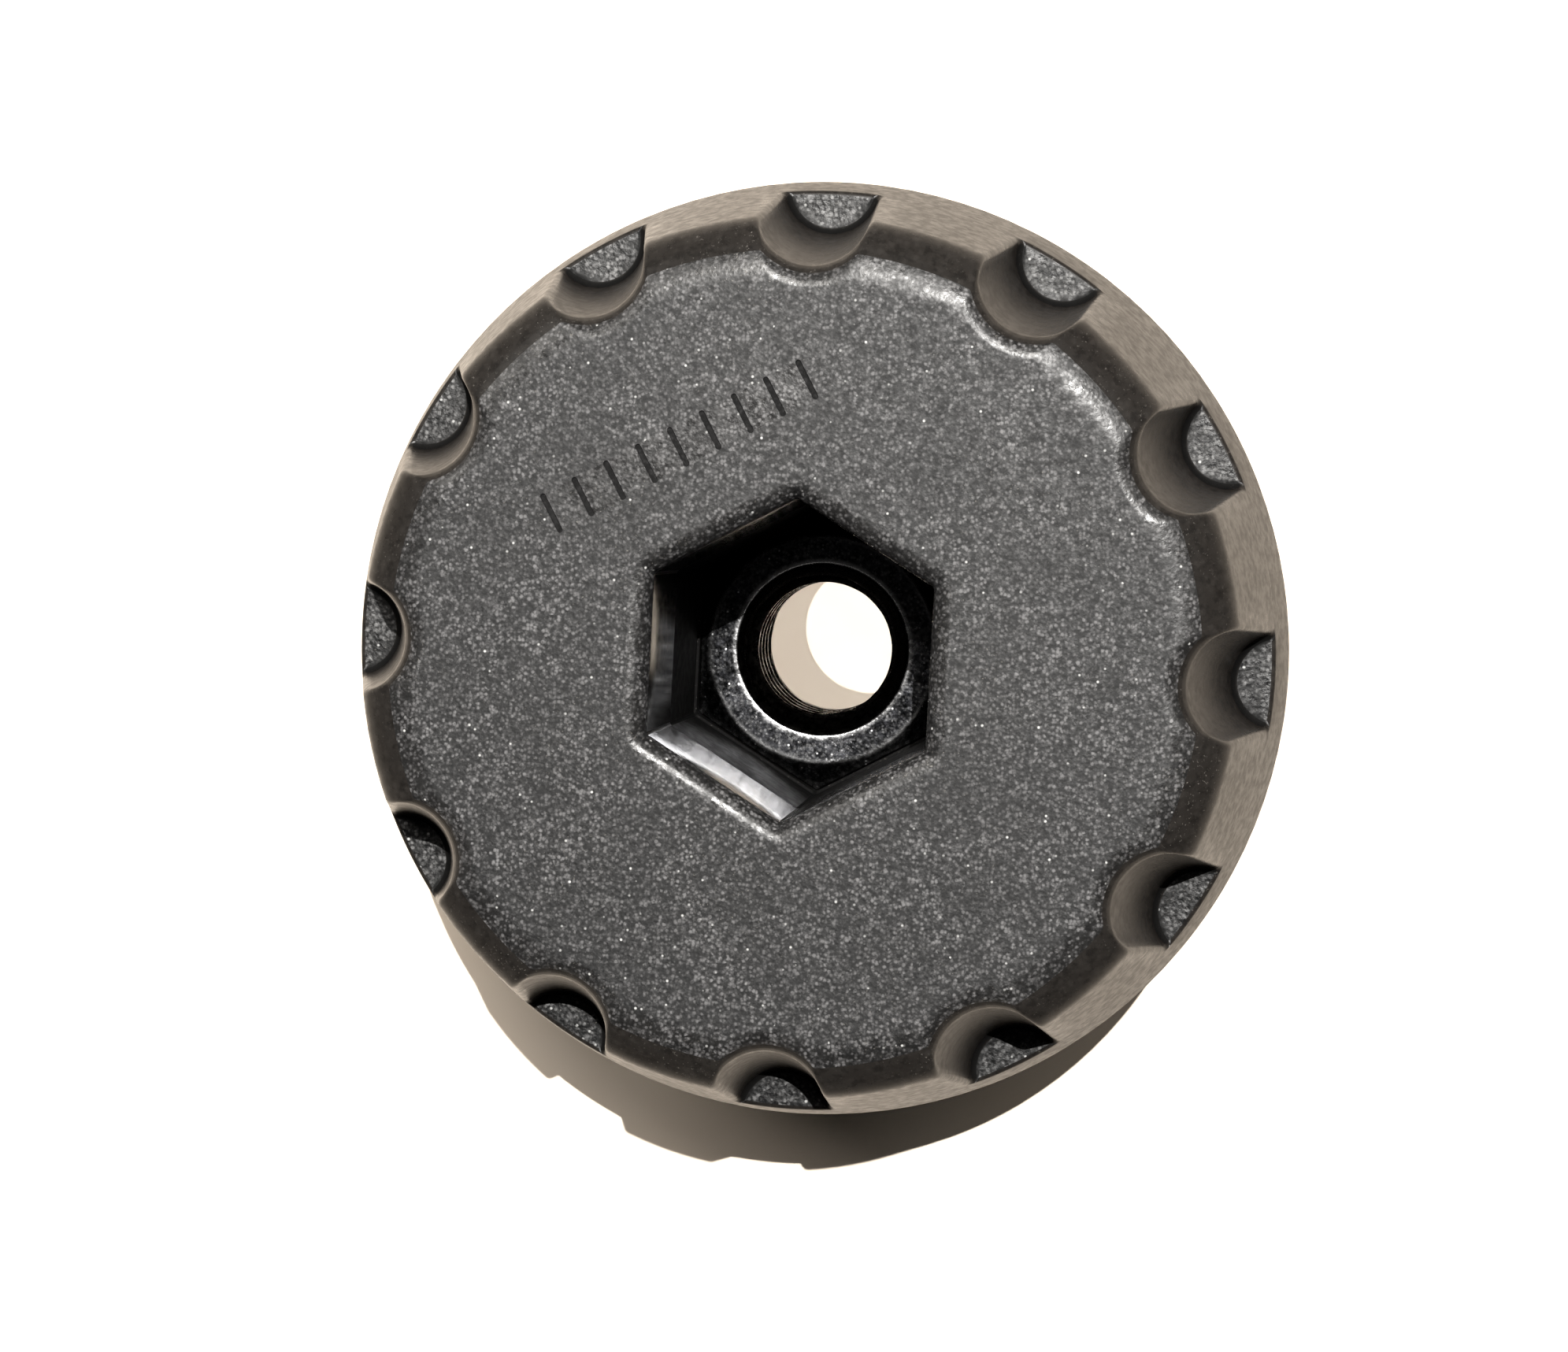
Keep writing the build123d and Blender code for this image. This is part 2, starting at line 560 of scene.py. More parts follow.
class Effect:
    """A shader node group that several materials share, built once on first use."""

    name = "effect"
    takes: dict[str, float] = {}
    gives: tuple[str, ...] = ()

    @classmethod
    def tree(cls) -> bpy.types.NodeTree:
        """Makes the effect's node group when it is first asked for.

        Returns:
            The node group.
        """
        known = bpy.data.node_groups.get(cls.name)
        if known:
            return known
        tree = bpy.data.node_groups.new(cls.name, "ShaderNodeTree")
        sockets = tree.interface
        for name, value in cls.takes.items():
            made = sockets.new_socket(name=name, in_out="INPUT", socket_type="NodeSocketFloat")
            made.default_value = value
        for name in cls.gives:
            sockets.new_socket(name=name, in_out="OUTPUT", socket_type="NodeSocketFloat")
        graph = Graph(tree)
        results = cls.build(graph, graph.node("NodeGroupInput").outputs)
        graph.node("NodeGroupOutput", dict(zip(cls.gives, results)))
        return tree

    @classmethod
    def build(cls, graph: Graph, inputs: bpy.types.NodeOutputs) -> Sequence[Socket]:
        """Fills the group and returns one socket for each output."""
        raise NotImplementedError

    @classmethod
    def place(cls, graph: Graph, **values: float) -> bpy.types.NodeOutputs:
        """Puts the effect into a material.

        Args:
            graph: The material's graph.
            values: Value of each input, with spaces in its name as underscores.

        Returns:
            The outputs of the group node.
        """
        node = graph.node("ShaderNodeGroup", node_tree=cls.tree())
        for key, value in values.items():
            node.inputs[key.replace("_", " ")].default_value = value
        return node.outputs


class MouldGrain(Effect):
    """Spark-eroded grain: rounded pits and bumps, and sparse flecks, which the nylon paints as bright
    glints.
    """

    name = "mould_grain"
    takes = {"Grain": 0.45, "Fleck Share": 0.05}
    gives = ("Height", "Pits", "Flecks", "Speckle")

    @classmethod
    def build(cls, graph: Graph, inputs: bpy.types.NodeOutputs) -> Sequence[Socket]:
        """Layers coarse and fine noise with rounded cells.

        Args:
            graph: The group's graph.
            inputs: Grain in millimetres, and the share of cells that are bright flecks.

        Returns:
            Height from 0 to 1, then masks of the pits, the flecks and the fine speckle.
        """
        place = graph.millimetres(inputs["Grain"])
        coarse = graph.noise(place, 1.0, 3.0, 0.6)
        fine = graph.noise(place, 3.1, 2.0, 0.5)
        bumps = graph.node(
            "ShaderNodeTexVoronoi",
            {"Vector": place, "Scale": 1.15, "Smoothness": 0.6},
            feature="SMOOTH_F1",
        ).outputs["Distance"]
        height = graph.math("ADD", graph.times(coarse, 0.55), graph.times(fine, 0.2))
        height = graph.math("ADD", height, graph.times(bumps, 0.45))
        pits = graph.ramp(coarse, 0.52, 0.36)
        distance, lot, strength = graph.cells(place, 0.8)
        chosen = graph.math("LESS_THAN", lot, inputs["Fleck Share"])
        flecks = graph.times(chosen, graph.ramp(distance, 0.3, 0.1))
        flecks = graph.times(flecks, graph.ramp(strength, 0.0, 1.0, 0.15))
        distance, lot, _ = graph.cells(place, 1.25)
        grains = graph.times(lot, graph.ramp(distance, 0.8, 0.0, 0.0, 0.62))
        drift = graph.times(graph.noise(place, 0.7, 4.0, 0.75), 1.1)
        speckle = graph.ramp(graph.math("ADD", grains, drift), 0.5, 1.05)
        return height, pits, flecks, speckle


class CurvatureMasks(Effect):
    """Masks from how convex the surface is: convex edges in patches, which carry wear and on the
    nylon also a painted highlight, and hollow corners, where the nylon gets painted shade.
    """

    name = "curvature_masks"
    takes = {"Onset": 0.2, "Full": 0.6, "Patch": 3.0}
    gives = ("Edge Wear And Sheen", "Corner Shade")

    @classmethod
    def build(cls, graph: Graph, inputs: bpy.types.NodeOutputs) -> Sequence[Socket]:
        """Reads how convex the surface is and breaks it up with noise.

        Args:
            graph: The group's graph.
            inputs: Convexity where the edge mask starts and is full, and the size of its patches.

        Returns:
            Mask of the convex edges, for wear and painted highlight, and mask of the hollow corners,
            for painted shade.
        """
        curve = graph.node("ShaderNodeAttribute", attribute_name=CONVEXITY).outputs["Fac"]
        drift = graph.noise(graph.millimetres(inputs["Patch"]), 1.0, 4.0, 0.6)
        patches = graph.ramp(drift, 0.3, 0.62, 0.35)
        spread = graph.ramp(curve, inputs["Onset"], inputs["Full"])
        return graph.times(spread, patches), graph.ramp(curve, -0.1, -0.6)


class Dust(Effect):
    """Fine dust and lint that settle on what faces up."""

    name = "settled_dust"
    takes = {"Amount": 0.3}
    gives = ("Dust",)

    @classmethod
    def build(cls, graph: Graph, inputs: bpy.types.NodeOutputs) -> Sequence[Socket]:
        """Scatters specks by noise, more of them on level faces.

        Args:
            graph: The group's graph.
            inputs: Overall amount.

        Returns:
            Mask of the dust.
        """
        normal = graph.node("ShaderNodeNewGeometry").outputs["Normal"]
        level = graph.ramp(graph.node("ShaderNodeSeparateXYZ", {0: normal}).outputs[2], 0.1, 0.95)
        place = graph.millimetres()
        specks = graph.ramp(graph.noise(place, 5.0, 2.0, 0.7), 0.63, 0.72)
        drifts = graph.ramp(graph.noise(place, 0.12, 3.0, 0.6), 0.35, 0.7)
        dust = graph.times(graph.times(specks, drifts), level)
        return (graph.times(dust, inputs["Amount"]),)


def new_material(name: str) -> tuple[bpy.types.Material, Graph]:
    """Makes an empty node material.

    Args:
        name: Its name.

    Returns:
        The material, and the graph to fill it.
    """
    material = bpy.data.materials.new(name)
    material.use_nodes = True
    return material, Graph(material.node_tree)


# lighter colour for convex nylon edges: partly wear, partly a painted highlight
EDGE_WEAR_AND_SHEEN = (0.16, 0.155, 0.148)
# bright colour for the nylon's flecks: painted glints
PAINTED_GLINT = (0.5, 0.5, 0.49)
LINT = (0.33, 0.31, 0.28)
# near-black laid into hollow corners: painted shade
PAINTED_CORNER_SHADE = (0.002, 0.002, 0.002)


@dataclass(frozen=True)
class Nylon:
    """Black glass-filled nylon, in one of its moulded finishes."""

    name: str
    tone: Colour
    pale: Colour
    roughness: tuple[float, float]
    grain: float = 0.9
    relief: float = 0.003
    fleck_share: float = 0.0
    specular: float = 0.28
    wear_and_sheen: float = 0.0
    mottling: float = 0.35
    burnish: float = 0.05
    refraction: float = 1.53

    def material(self) -> bpy.types.Material:
        """Builds the finish.

        Returns:
            The material.
        """
        material, graph = new_material(self.name)
        grain = MouldGrain.place(graph, Grain=self.grain, Fleck_Share=self.fleck_share)
        edges = CurvatureMasks.place(graph, Onset=0.02, Full=0.1, Patch=2.5)
        dust = Dust.place(graph, Amount=0.3)
        clouds = graph.noise(graph.millimetres(), 0.3, 4.0, 0.65)
        clouds = graph.ramp(clouds, 0.38, 0.62, 1.0 - self.mottling)
        dark = tuple(0.45 * value for value in self.tone)
        speckle = graph.times(grain["Speckle"], clouds)
        colour = graph.blend(speckle, (*self.tone, 1), (*self.pale, 1))
        colour = graph.layer(colour, grain["Pits"], 0.7, dark)
        # convex edges laid lighter: partly wear, partly a painted highlight
        colour = graph.layer(colour, edges["Edge Wear And Sheen"], self.wear_and_sheen, EDGE_WEAR_AND_SHEEN)
        # bright flecks in the base colour: painted glints
        colour = graph.layer(colour, grain["Flecks"], 0.8, PAINTED_GLINT)
        colour = graph.layer(colour, dust["Dust"], 1.0, LINT)
        # hollow corners are painted near black: painted shade in creases and fillets
        colour = graph.layer(colour, edges["Corner Shade"], 0.9, PAINTED_CORNER_SHADE)
        rough = graph.uneven(1.4, self.roughness)
        rough = graph.math("SUBTRACT", rough, graph.times(grain["Flecks"], 0.2))
        rough = graph.math("SUBTRACT", rough, graph.times(edges["Edge Wear And Sheen"], self.burnish))
        rough = graph.math("ADD", rough, graph.times(edges["Corner Shade"], 0.4), clamp=True)
        shine = {"Specular IOR Level": self.specular, "IOR": self.refraction}
        graph.shade(colour, rough, grain["Height"], self.relief, shine)
        return material


@dataclass(frozen=True)
class NutSteel:
    """Dark oiled steel, worn bright on its edges and speckled on its faces."""

    name: str
    tone: Colour
    stained: Colour
    bright: Colour
    fleck_share: float = 0.0
    relief: float = 0.02
    grain: float = 0.3
    roughness: tuple[float, float] = (0.2, 0.36)

    def material(self) -> bpy.types.Material:
        """Builds the finish.

        Returns:
            The material.
        """
        material, graph = new_material(self.name)
        grain = MouldGrain.place(graph, Grain=self.grain, Fleck_Share=self.fleck_share)
        edges = CurvatureMasks.place(graph, Onset=0.08, Full=0.6, Patch=1.2)
        clouds = graph.ramp(graph.noise(graph.millimetres(), 1.3, 4.0, 0.7), 0.4, 0.6)
        colour = graph.blend(clouds, (*self.stained, 1), (*self.tone, 1))
        colour = graph.layer(colour, grain["Speckle"], 0.2, self.bright)
        colour = graph.layer(colour, grain["Flecks"], 1.0, self.bright)
        colour = graph.layer(colour, edges["Edge Wear And Sheen"], 1.0, self.bright)
        rough = graph.uneven(2.2, self.roughness)
        rough = graph.math("ADD", rough, graph.times(grain["Flecks"], 0.2), clamp=True)
        graph.shade(colour, rough, grain["Height"], self.relief, {"Metallic": 1.0})
        return material


SMOOTH_NYLON = Nylon(
    name="smooth_nylon",
    tone=(0.011, 0.0096, 0.0086),
    pale=(0.017, 0.0151, 0.0137),
    roughness=(0.3, 0.42),
    grain=0.7,
    relief=0.008,
    specular=0.07,
    wear_and_sheen=0.02,
)
GRAINED_NYLON = Nylon(
    name="grained_nylon",
    tone=(0.003, 0.003, 0.0033),
    pale=(0.112, 0.11, 0.112),
    roughness=(0.46, 0.66),
    grain=0.34,
    relief=0.035,
    fleck_share=0.07,
    wear_and_sheen=0.05,
    mottling=0.45,
    burnish=0.26,
)
COARSE_NYLON = Nylon(
    name="coarse_nylon",
    tone=(0.004, 0.004, 0.0042),
    pale=(0.14, 0.139, 0.139),
    roughness=(0.38, 0.56),
    grain=0.4,
    relief=0.1,
    fleck_share=0.12,
    specular=0.25,
    mottling=0.4,
)
POLISHED_NYLON = Nylon(
    name="polished_nylon",
    tone=(0.004, 0.0038, 0.0036),
    pale=(0.006, 0.0057, 0.0054),
    roughness=(0.12, 0.2),
)
# darker, duller nylon for the nut's pocket and the socket walls up to its mouth: painted shade in the
# socket
SHADED_SOCKET_NYLON = Nylon(
    name="shaded_socket_nylon",
    tone=(0.003, 0.0029, 0.0028),
    pale=(0.004, 0.0038, 0.0036),
    roughness=(0.5, 0.62),
    specular=0.04,
)
FACE_STEEL = NutSteel(
    name="face_steel",
    tone=(0.055, 0.056, 0.062),
    stained=(0.012, 0.0124, 0.014),
    bright=(0.85, 0.85, 0.86),
    fleck_share=0.14,
    relief=0.022,
    roughness=(0.16, 0.31),
)
# near-black steel for the thread and the countersink cones in the bore: painted shade
SHADED_BORE_STEEL = NutSteel(
    name="shaded_bore_steel",
    tone=(0.009, 0.0085, 0.008),
    stained=(0.004, 0.0038, 0.0035),
    bright=(0.03, 0.028, 0.026),
)


# ------------------------------------------------------------------------------------- cap


@dataclass
class Cap:
    """The whole nylon moulding: grip, shoulder, skirt, filter cup, hub, ribs and socket."""

    height: float
    bead_radius: float
    nut_flats: float
    nut_seat: float
    nut_top: float

    # grip, from the face down to the shoulder
    face_radius: float = 28.05
    face_run: float = 3.0
    bevel_foot: tuple[float, float] = (30.65, 46.0)
    shoulder: tuple[float, float] = (35.0, 31.0)
    face_rounding: float = 5.0
    foot_rounding: float = 2.8
    grained_depth: float = 0.6
    shoulder_rounding: float = 0.8
    foot_reach: float = 2.0
    wall_margins: tuple[float, float] = (1.2, 1.5)
    wall_rows: int = 9
    closest_rows: float = 0.02

    # scallops: innermost radius and arc at their floor and at the face
    scallops: int = 12
    scallop_floor: float = 35.2
    scallop_inner: tuple[float, float] = (30.75, 26.9)
    scallop_arc: tuple[float, float] = (3.5, 4.2)
    scallop_corner: float = 0.5
    scallop_edge: float = 1.3
    scallop_fillet: float = 0.5
    floor_rounding: float = 0.35
    scallop_points: int = 11
    lobe_points: int = 4

    # skirt, mouth bead and filter cup
    mouth_radius: float = 35.75
    bead_height: float = 4.0
    bead_foot_rounding: float = 0.4
    bead_top_rounding: float = 0.25
    bead_rounding: float = 0.4
    tallest_row: float = 4.0
    rim_grid: float = 0.9
    flutes: int = 14
    land_radius: float = 32.65
    land_width: float = 9.0
    land_corner: float = 0.2
    groove_radius: float = 33.55
    lead_in: float = 1.2
    stop_height: float = 13.0
    screw_hole: float = 6.75

    # bays between the hub and its ribs
    ribs: int = 6
    rib_half: float = 1.2
    hub_radius: float = 14.46
    bay_radius: float = 32.15
    bay_roof: float = 32.2
    bay_roof_radius: float = 28.65
    bay_top_radius: float = 24.8
    plate_underside: float = 45.0
    bay_corner: float = 0.9

    # hexagonal socket
    pocket_clearance: float = 0.05
    socket_clearance: float = 0.25
    socket_corner: float = 0.35
    socket_edge: float = 1.3
    socket_mouth: float = 11.0
    seat_grid: float = 1.2

    shell: Shell = field(default_factory=Shell)
    face_hole: np.ndarray = field(init=False)

    @classmethod
    def from_frame(cls) -> "Cap":
        """Takes the overall sizes from the CAD nodes.

        Returns:
            The cap, with nothing built yet.
        """
        cap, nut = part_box("cap"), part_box("hex_nut")
        return cls(
            height=cap[1].z / MM,
            bead_radius=cap[1].x / MM,
            nut_flats=nut[1].x / MM * 2,
            nut_seat=nut[0].z / MM,
            nut_top=nut[1].z / MM,
        )

    # ---- outlines

    def lobed(self, radius: float, height: float, grow: float = 0.0) -> Loop:
        """Outline of the grip at a height: an envelope circle with the scallops bitten out.

        Args:
            radius: Radius of the envelope circle.
            height: Height above the mouth, which sets the scallops' place.
            grow: Extra radius of the scallops' arc.

        Returns:
            The closed outline, counter-clockwise.
        """
        levels = (self.scallop_floor, self.height)
        inner = np.interp(height, levels, self.scallop_inner)
        bite = np.interp(height, levels, self.scallop_arc)
        centre = inner + bite
        bite += grow
        corner = self.scallop_corner
        reach = radius - corner
        aside = (reach**2 + centre**2 - (bite + corner) ** 2) / (2 * reach * centre)
        end = math.acos(aside)
        pivot = (reach * math.cos(end), reach * math.sin(end))
        meet = math.atan2(pivot[1], pivot[0] - centre)
        scallop = arc((centre, 0), bite, math.pi, meet, self.scallop_points)
        fillet = arc(pivot, corner, meet - math.pi, end, CORNER_POINTS)
        lobe = arc((0, 0), radius, end, math.pi / self.scallops, self.lobe_points)
        return repeated(np.vstack((scallop, fillet[1:], lobe[1:])), self.scallops)

    def bite_weight(self) -> np.ndarray:
        """How far each point of the lobed outline belongs to a scallop.

        Returns:
            1 on the scallops' arcs, falling to 0 over their corners.
        """
        corner = (0.75, 0.5, 0.2, 0.0)
        lobe = np.zeros(self.lobe_points - 1)
        half = np.concatenate((np.ones(self.scallop_points), corner, lobe))
        unit = np.concatenate((half[:0:-1], half[:-1]))
        return np.tile(unit, self.scallops)

    def fluted(self, height: float) -> Loop:
        """Outline of the filter cup, opened to the lead-in cone near its mouth.

        Args:
            height: Height above the mouth.

        Returns:
            The closed outline, counter-clockwise.
        """
        half_width = self.land_width / 2
        corner = self.land_corner
        land = np.column_stack((np.full(4, self.land_radius), np.linspace(0, half_width - corner, 4)))
        pivot = (self.land_radius + corner, half_width - corner)
        edge = arc(pivot, corner, math.pi, math.pi / 2, 4)
        land = np.vstack((land, edge[1:]))
        cone = np.interp(height, (0, self.lead_in), (self.groove_radius, self.land_radius))
        land[:, 0] = np.maximum(land[:, 0], np.sqrt(cone**2 - land[:, 1] ** 2))
        wall = math.sqrt(self.groove_radius**2 - half_width**2)
        start = math.atan2(half_width, wall)
        groove = arc((0, 0), self.groove_radius, start, math.pi / self.flutes, 5)
        return repeated(np.vstack((land, groove)), self.flutes)

    def bay(self, radius: float) -> Loop:
        """Outline of the bay on +X, between two ribs.

        Args:
            radius: Radius of its outer wall.

        Returns:
            The closed outline.
        """
        ray = np.array((math.cos(SIXTH), math.sin(SIXTH)))
        side = np.array((-ray[1], ray[0]))
        corner = self.bay_corner
        gap = self.rib_half + corner
        inner = ray * math.sqrt((self.hub_radius + corner) ** 2 - gap**2) - side * gap
        outer = ray * math.sqrt((radius - corner) ** 2 - gap**2) - side * gap
        inner_angle = math.atan2(inner[1], inner[0])
        outer_angle = math.atan2(outer[1], outer[0])
        up = math.pi / 2 + SIXTH
        half = np.vstack(
            (
                arc((0, 0), radius, 0, outer_angle, 10),
                arc(outer, corner, outer_angle, up, CORNER_POINTS)[1:],
                np.linspace(outer + side * corner, inner + side * corner, 6)[1:],
                arc(inner, corner, up, inner_angle + math.pi, CORNER_POINTS)[1:],
                arc((0, 0), self.hub_radius, inner_angle, 0, 7)[1:],
            )
        )
        return np.vstack((half[:-1], half[:0:-1] * (1, -1)))

    # ---- surfaces

    def profile(self) -> Loop:
        """The side profile, with its corners rounded.

        Returns:
            Rows of radius and height, from the face down to the mouth plane.
        """
        bead_foot = self.bead_height + self.bead_radius - self.mouth_radius
        return rounded_profile(
            (
                (self.face_radius - self.face_run, self.height),
                (self.face_radius, self.height, self.face_rounding),
                (*self.bevel_foot, self.foot_rounding),
                (*self.shoulder, self.shoulder_rounding),
                (self.mouth_radius, bead_foot, self.bead_foot_rounding),
                (self.bead_radius, self.bead_height, self.bead_top_rounding),
                (self.bead_radius, 0, self.bead_rounding),
                (self.bead_radius - 2 * self.bead_rounding, 0),
            )
        )

    def grip(self, profile: Loop) -> tuple[np.ndarray, np.ndarray]:
        """Builds the scalloped grip from the face's edge to the scallops' floors.

        Args:
            profile: The rounded side profile.

        Returns:
            The face's border loop, and the last loop just under the floors.
        """
        edge = self.scallop_edge
        fillet = self.scallop_fillet
        floor = self.scallop_floor
        foot = self.bevel_foot[1]
        low, high = self.wall_margins
        bends = 1 - np.cos(np.linspace(0, math.pi / 2, BEND_POINTS))
        heights = np.concatenate(
            (
                self.height - edge * bends,
                floor + fillet * bends,
                profile[profile[:, 1] > foot - self.foot_reach, 1],
                np.linspace(floor + low, foot - high, self.wall_rows),
            )
        )
        heights = np.unique(np.round(heights, 3))[::-1]
        gaps = np.diff(heights, prepend=math.inf)
        heights = heights[-gaps > self.closest_rows]

        def row(height: float) -> Loop:
            """Outline at one height, with the rounded top edge and the fillet at the floor.

            Args:
                height: Height above the mouth.

            Returns:
                The closed outline.
            """
            top = max(0.0, (height - (self.height - edge)) / edge)
            foot = max(0.0, (floor + fillet - height) / fillet)
            flare = edge * (1 - math.sqrt(1 - top**2)) - fillet * (1 - math.sqrt(1 - foot**2))
            return self.lobed(self.envelope(profile, height), height, flare)

        face_edge = self.envelope(profile, self.height)
        outline = self.lobed(face_edge - GUARD, self.height, edge + GUARD)
        border = self.shell.loop(outline, self.height)
        grained = heights > self.height - self.grained_depth
        rows = [(row(height), height) for height in heights[grained]]
        start = self.shell.path(border, rows, Finish.GRAINED)
        rows = [(row(height), height) for height in heights[~grained]]
        start = self.shell.path(start, rows, Finish.SMOOTH)
        return border, self.floors(profile, row(floor), start)

    @staticmethod
    def envelope(profile: Loop, height: float) -> float:
        """Radius of the grip's envelope at a height on the profile."""
        wall = profile[1:][::-1]
        return float(np.interp(height, wall[:, 1], wall[:, 0]))

    def floors(self, profile: Loop, outline: Loop, start: np.ndarray) -> np.ndarray:
        """Builds the scallops' floors and rounds them over into the wall below.

        Args:
            profile: The rounded side profile.
            outline: Outline at the floors' height.
            start: Loop that the walls end on.

        Returns:
            The loop just under the floors' rounded edge.
        """
        floor = self.scallop_floor
        rounding = self.floor_rounding
        weight = self.bite_weight()
        spoke = outward(outline)
        rise = self.bevel_foot[1] - self.shoulder[1]
        lean = math.atan2(rise, self.shoulder[0] - self.bevel_foot[0])
        reach = rounding * math.tan(lean / 2)
        wall = self.envelope(profile, floor)
        rim = spoke * (wall - reach * weight)[:, None]
        rows = [(outline + (rim - outline) * share, floor) for share in (0.3, 0.6, 0.85, 1.0)]
        start = self.shell.path(start, rows, Finish.COARSE)
        rows = []
        for bend in np.linspace(0, lean, 6)[1:]:
            height = floor - rounding * (1 - math.cos(bend))
            edge = wall - reach + rounding * math.sin(bend)
            radius = weight * edge + (1 - weight) * self.envelope(profile, height)
            rows.append((spoke * radius[:, None], height))
        return self.shell.path(start, rows, Finish.SMOOTH)

    def skirt(self, profile: Loop, start: np.ndarray) -> None:
        """Builds the wall from under the scallops to the mouth, and the mouth plane.

        Args:
            profile: The rounded side profile.
            start: Loop just under the scallops' floors.
        """
        last = np.vstack(self.shell.points)[start]
        spoke = outward(last)
        lower = profile[profile[:, 1] < last[0, 2] - GUARD]
        fine = [lower[0]]
        for here, following in zip(lower, lower[1:]):
            step = following - here
            pieces = max(1, round(float(np.linalg.norm(step)) / self.tallest_row))
            fine += [here + step * (k + 1) / pieces for k in range(pieces)]
        rows = [(spoke * radius, height) for radius, height in fine]
        rim = self.shell.path(start, rows, Finish.SMOOTH)
        circle_points = 14 * self.flutes
        mouth = self.shell.loop(circle(self.groove_radius + GUARD, circle_points), 0)
        self.shell.panel(rim, [mouth], False, Finish.SMOOTH, grid=self.rim_grid)
        self.cup(mouth)

    def cup(self, mouth: np.ndarray) -> None:
        """Builds the fluted cup, its stop plane and the bays behind it.

        Args:
            mouth: Loop of the mouth plane's inner border.
        """
        shell = self.shell
        top = self.stop_height
        opening = shell.loop(self.fluted(0), 0)
        shell.panel(mouth, [opening], False, Finish.SMOOTH, grid=self.rim_grid)
        heights = (*np.linspace(0, self.lead_in, 5)[1:], *np.linspace(0, top, 6)[1:])
        rows = [(self.fluted(height), height) for height in heights]
        rim = shell.path(opening, rows, Finish.SMOOTH)
        hollows = [self.hollow(2 * math.pi * k / self.ribs) for k in range(self.ribs)]
        hole = shell.loop(circle(self.screw_hole, HOLE_POINTS), top)
        shell.panel(rim, [*hollows, hole], False, Finish.SMOOTH)
        self.socket(hole)

    def hollow(self, angle: float) -> np.ndarray:
        """Builds one bay and returns its loop on the stop plane.

        Args:
            angle: Direction of the bay in radians.

        Returns:
            The loop that the stop plane is cut by.
        """
        shell = self.shell
        wide = turned(self.bay(self.bay_radius), angle)
        start = shell.loop(wide, self.stop_height)
        heights = np.linspace(self.stop_height, self.bay_roof, 6)[1:]
        end = shell.path(start, [(wide, height) for height in heights], Finish.SMOOTH)
        radii = np.linspace(self.bay_roof_radius, self.bay_top_radius, 6)
        heights = np.linspace(self.bay_roof, self.plate_underside, 6)
        rows = [(turned(self.bay(r), angle), height) for r, height in zip(radii, heights)]
        end = shell.path(end, rows, Finish.SMOOTH)
        shell.panel(end, [], False, Finish.SMOOTH)
        return start

    def socket(self, hole: np.ndarray) -> None:
        """Builds the screw hole, the nut's seat and pocket, and the socket up to the face.

        Args:
            hole: Loop of the screw hole on the stop plane.
        """
        shell = self.shell
        corner = self.socket_corner
        edge = self.socket_edge
        mouth = self.height - self.socket_mouth
        wide = self.nut_flats / 2 + self.socket_clearance
        neck_wall = circle(self.screw_hole, HOLE_POINTS)
        pocket = hexagon(self.nut_flats / 2 + self.pocket_clearance, corner)
        wall = hexagon(wide, corner)
        rows = [(neck_wall, z) for z in np.linspace(self.stop_height, self.nut_seat, 3)[1:]]
        neck = shell.path(hole, rows, Finish.SMOOTH)
        seat = shell.loop(pocket, self.nut_seat)
        shell.panel(seat, [neck], True, Finish.SMOOTH, grid=self.seat_grid)
        rows = [(pocket, z) for z in np.linspace(self.nut_seat, self.nut_top, 5)[1:]]
        rows += [(wall, z) for z in np.linspace(self.nut_top, mouth, 7)]
        # the pocket and the socket walls below its mouth take the darker nylon, which paints their
        # shade
        last = shell.path(seat, rows, Finish.SHADED_SOCKET)
        rows = [(wall, z) for z in np.linspace(mouth, self.height - edge, 4)[1:]]
        last = shell.path(last, rows, Finish.POLISHED)
        rows = []
        for bend in np.linspace(0, math.pi / 2, BEND_POINTS)[1:]:
            grow = edge * (1 - math.cos(bend))
            height = self.height - edge * (1 - math.sin(bend))
            rows.append((hexagon(wide + grow, corner + grow), height))
        grow = edge + GUARD
        rows.append((hexagon(wide + grow, corner + grow), self.height))
        self.face_hole = shell.path(last, rows, Finish.GRAINED)

    def marks(self) -> list[np.ndarray]:
        """Sinks a row of plain strokes into the face, beside one side of the socket.

        Returns:
            The loops that the strokes cut out of the face.
        """
        marks = MouldMarks()
        shell = self.shell
        loops = []
        for guard, outline, floor in marks.strokes():
            bottom = shell.loop(floor, self.height - marks.depth)
            rows = [(outline, self.height), (guard, self.height)]
            loops.append(shell.path(bottom, rows, Finish.GRAINED))
            shell.panel(bottom, [], True, Finish.GRAINED)
        return loops

    def build(self) -> bpy.types.Object:
        """Builds the moulding, dresses it and puts it in the CAD node's place.

        Returns:
            The finished piece.
        """
        profile = self.profile()
        border, under = self.grip(profile)
        self.skirt(profile, under)
        self.shell.panel(border, [self.face_hole, *self.marks()], True, Finish.GRAINED)
        finishes = (SMOOTH_NYLON, GRAINED_NYLON, COARSE_NYLON, POLISHED_NYLON, SHADED_SOCKET_NYLON)
        piece = self.shell.piece("moulded_cap", [finish.material() for finish in finishes])
        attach(piece, BODY)
        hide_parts("cap")
        return piece


